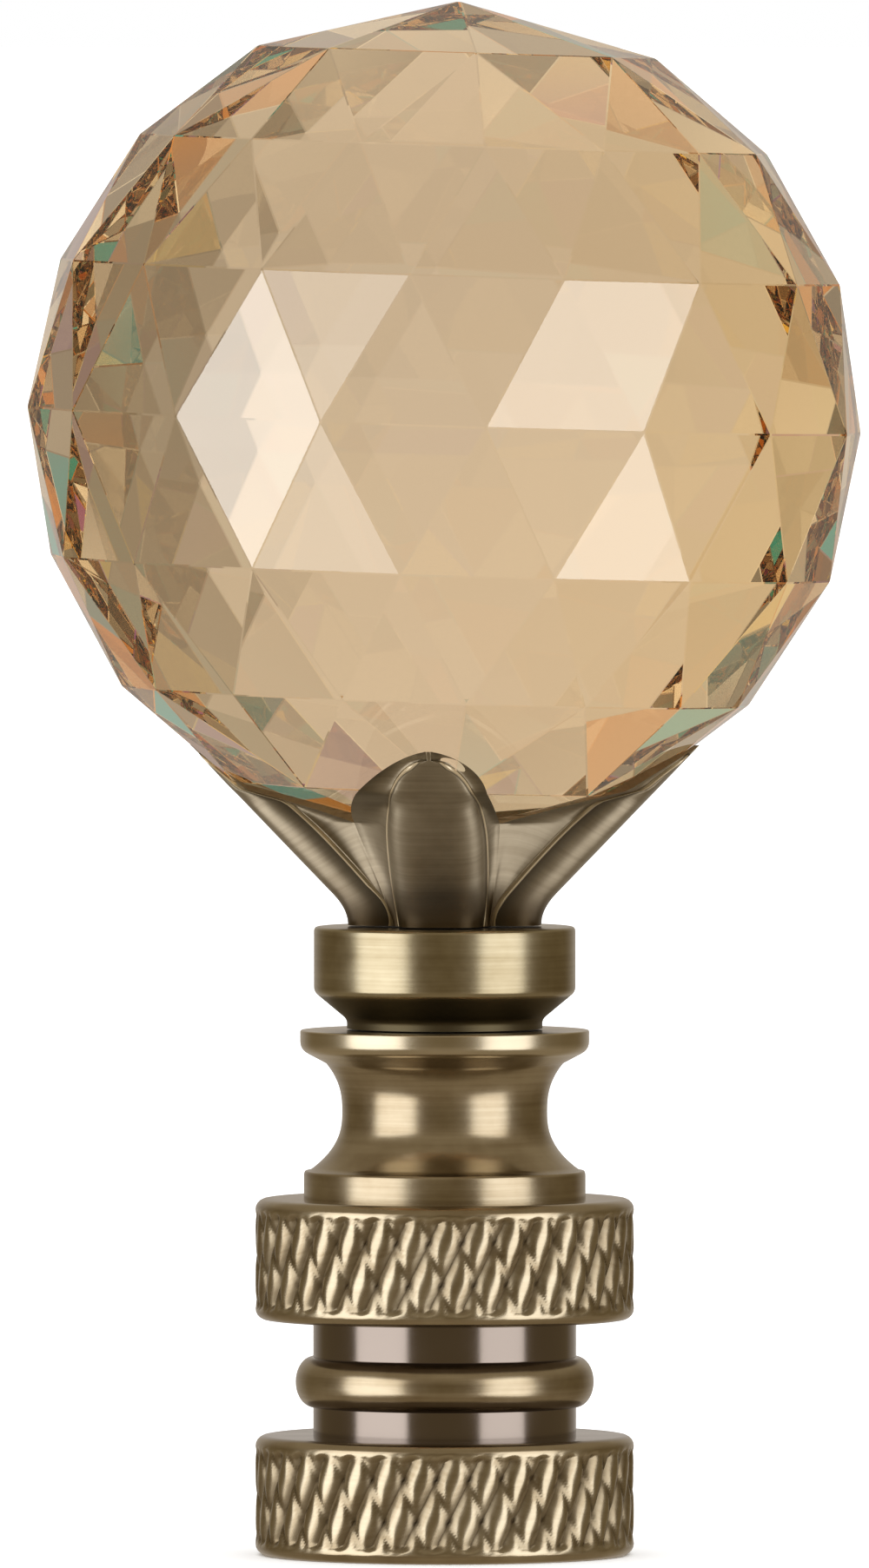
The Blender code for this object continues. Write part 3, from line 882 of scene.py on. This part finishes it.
def make_floor():
    maker = bmesh.new()
    bmesh.ops.create_grid(maker, x_segments=1, y_segments=1, size=FLOOR_HALF_SIZE)
    made, _, _, shader = new_material("pale floor")
    shader.inputs["Base Color"].default_value = (*FLOOR_COLOUR, 1.0)
    shader.inputs["Roughness"].default_value = FLOOR_ROUGHNESS
    floor = finished("floor", maker, made)
    floor.visible_glossy = False
    floor.visible_transmission = False
    floor.visible_shadow = False


def softbox(name, azimuths, elevations, radiance, pieces, distance=1.0):
    """An upright light panel for these pieces, that fills these angles, in degrees, as seen from the
    finial."""
    left, right = (math.radians(angle) for angle in azimuths)
    low, high = (distance * math.tan(math.radians(angle)) for angle in elevations)
    data = bpy.data.lights.new(name, "AREA")
    data.shape = "RECTANGLE"
    data.size = 2 * distance * math.tan((right - left) / 2)
    data.size_y = high - low
    data.energy = radiance * math.pi * data.size * data.size_y
    lamp = bpy.data.objects.new(name, data)
    middle = LIGHT_AIM_Z + (low + high) / 2
    lamp.location = on_circle(distance, (left + right) / 2, middle)
    lamp.rotation_euler = (math.pi / 2, 0.0, (left + right) / 2)
    lamp.visible_camera = False
    lamp.visible_transmission = False
    bpy.context.scene.collection.objects.link(lamp)
    lit = bpy.data.collections.new(name + " pieces")
    for piece in pieces:
        lit.objects.link(piece)
    lamp.light_linking.receiver_collection = lit


def make_lights(ball, cup, turned):
    softbox("left softbox", (-84, -33), (-25, 25), 2.4, turned)
    softbox("right softbox", (31, 74), (-27, 27), 2.2, turned)
    softbox("left ball fill", (-78, -26), (-27, 33), BALL_FILL, [ball])
    softbox("right ball fill", (31, 77), (-31, 31), BALL_FILL, [ball])
    for i, (azimuths, elevations, radiance) in enumerate(BALL_GLINTS):
        softbox(f"ball glint {i + 1}", azimuths, elevations, radiance, [ball])
    softbox("left low panel", (-112, -30), (-50, -8), 2.3, [cup])
    softbox("right low panel", (30, 112), (-52, -8), 1.9, [cup])


def make_world():
    """White to the camera, a soft backdrop with coloured patches seen through the crystal, and a dim
    warm room in the brass. The patches stand for the fire of cut crystal."""
    world = bpy.data.worlds.new("studio")
    # What the world gives depends on the kind of ray that meets it, so it isn't sampled as a lamp is
    world.cycles.sampling_method = "NONE"
    world.use_nodes = True
    bpy.context.scene.world = world
    nodes = world.node_tree.nodes
    links = world.node_tree.links
    direction = nodes.new("ShaderNodeTexCoord").outputs["Generated"]
    parts = nodes.new("ShaderNodeSeparateXYZ")
    links.new(direction, parts.inputs[0])
    side, rear, height = (math_node(nodes, links, "MULTIPLY_ADD", part, 0.5, 0.5) for part in parts.outputs)
    path = nodes.new("ShaderNodeLightPath").outputs
    backdrop = ramp(nodes, links, height, BACKDROP_BY_HEIGHT)
    tint = ramp(nodes, links, side, BACKDROP_BY_SIDE)
    backdrop = mix_colour(nodes, links, 1.0, backdrop, tint, "MULTIPLY")
    cloud = noise(nodes, links, direction, PATCH_SCALE, detail=1.0, roughness=0.5)
    patches = ramp(nodes, links, cloud, PATCHES)
    aside = ramp(nodes, links, rear, PATCHED_BY_REAR)
    long_path = math_node(nodes, links, "GREATER_THAN", path["Ray Depth"], LONG_PATH)
    patched = math_node(nodes, links, "MAXIMUM", aside, long_path)
    through = mix_colour(nodes, links, patched, backdrop, patches)
    room = ramp(nodes, links, height, ROOM_BY_HEIGHT)
    wall = ramp(nodes, links, rear, REAR_WALL_BY_REAR)
    room = mix_colour(nodes, links, wall, room, REAR_WALL)
    seen = mix_colour(nodes, links, path["Is Transmission Ray"], room, through)
    lit = mix_colour(nodes, links, path["Is Diffuse Ray"], seen, DIFFUSE_LIGHT)
    final = mix_colour(nodes, links, path["Is Camera Ray"], lit, CAMERA_WHITE)
    links.new(final, nodes["Background"].inputs["Color"])


def let_light_bounce():
    """Lets light leave the crystal after many reflections between its facets, which are black otherwise."""
    paths = bpy.context.scene.cycles
    paths.max_bounces = CRYSTAL_BOUNCES
    paths.glossy_bounces = CRYSTAL_BOUNCES
    paths.transmission_bounces = CRYSTAL_BOUNCES


def main():
    make_camera()
    make_floor()
    make_world()
    let_light_bounce()
    bpy.context.scene.view_settings.view_transform = "Standard"
    glass = crystal("champagne crystal")
    collar_brass = brass(
        "antique brass",
        dark=(0.28, 0.23, 0.14),
        light=(0.41, 0.36, 0.25),
        roughness=0.23,
        line_depth=LINE_DEPTH,
        # Painted shade on the collar's foot and the underside of its cone
        recesses=((0.0, COLLAR_Z + COLLAR_FOOT_HEIGHT + COLLAR_CONE_HEIGHT - COLLAR_EDGE),),
        recess_tone_and_shade=(0.12, 0.10, 0.06),
        recess_roughness=0.4,
    )
    base_brass = brass(
        "knurled antique brass",
        dark=(0.28, 0.22, 0.14),
        light=(0.42, 0.36, 0.26),
        roughness=0.23,
        line_depth=LINE_DEPTH,
        recesses=((LOWER_BAND_HEIGHT, BEAD_Z), (BEAD_Z + BEAD_HEIGHT, UPPER_BAND_Z)),
        recess_tone_and_shade=(0.235, 0.20, 0.18),
        recess_roughness=0.15,
        # Lighter lip and knurl crowns: a painted highlight, and on the crowns also worn metal
        wear_and_highlight=(0.58, 0.52, 0.40),
    )
    cup_brass = brass(
        "dark antique brass",
        dark=(0.21, 0.175, 0.125),
        light=(0.30, 0.26, 0.195),
        roughness=0.42,
        line_depth=0.4 * LINE_DEPTH,
        # Painted shade on the cup's foot, fading out above the collar
        recesses=((0.0, CUP_Z + 0.5 * MM),),
        recess_tone_and_shade=(0.14, 0.11, 0.075),
        recess_roughness=0.45,
        blend=1.3 * MM,
        anisotropic=0.0,
        # Lighter ridges: worn metal and a painted highlight
        wear_and_highlight=(0.90, 0.80, 0.62),
    )
    ball = ball_object("cut_crystal_ball", BALL_RADIUS, glass, FACET_EDGE)
    place(ball, "crystal_ball")
    cup = make_cup(cup_brass)
    turned = [make_collar(collar_brass), make_base(base_brass)]
    make_lights(ball, cup, turned)


main()
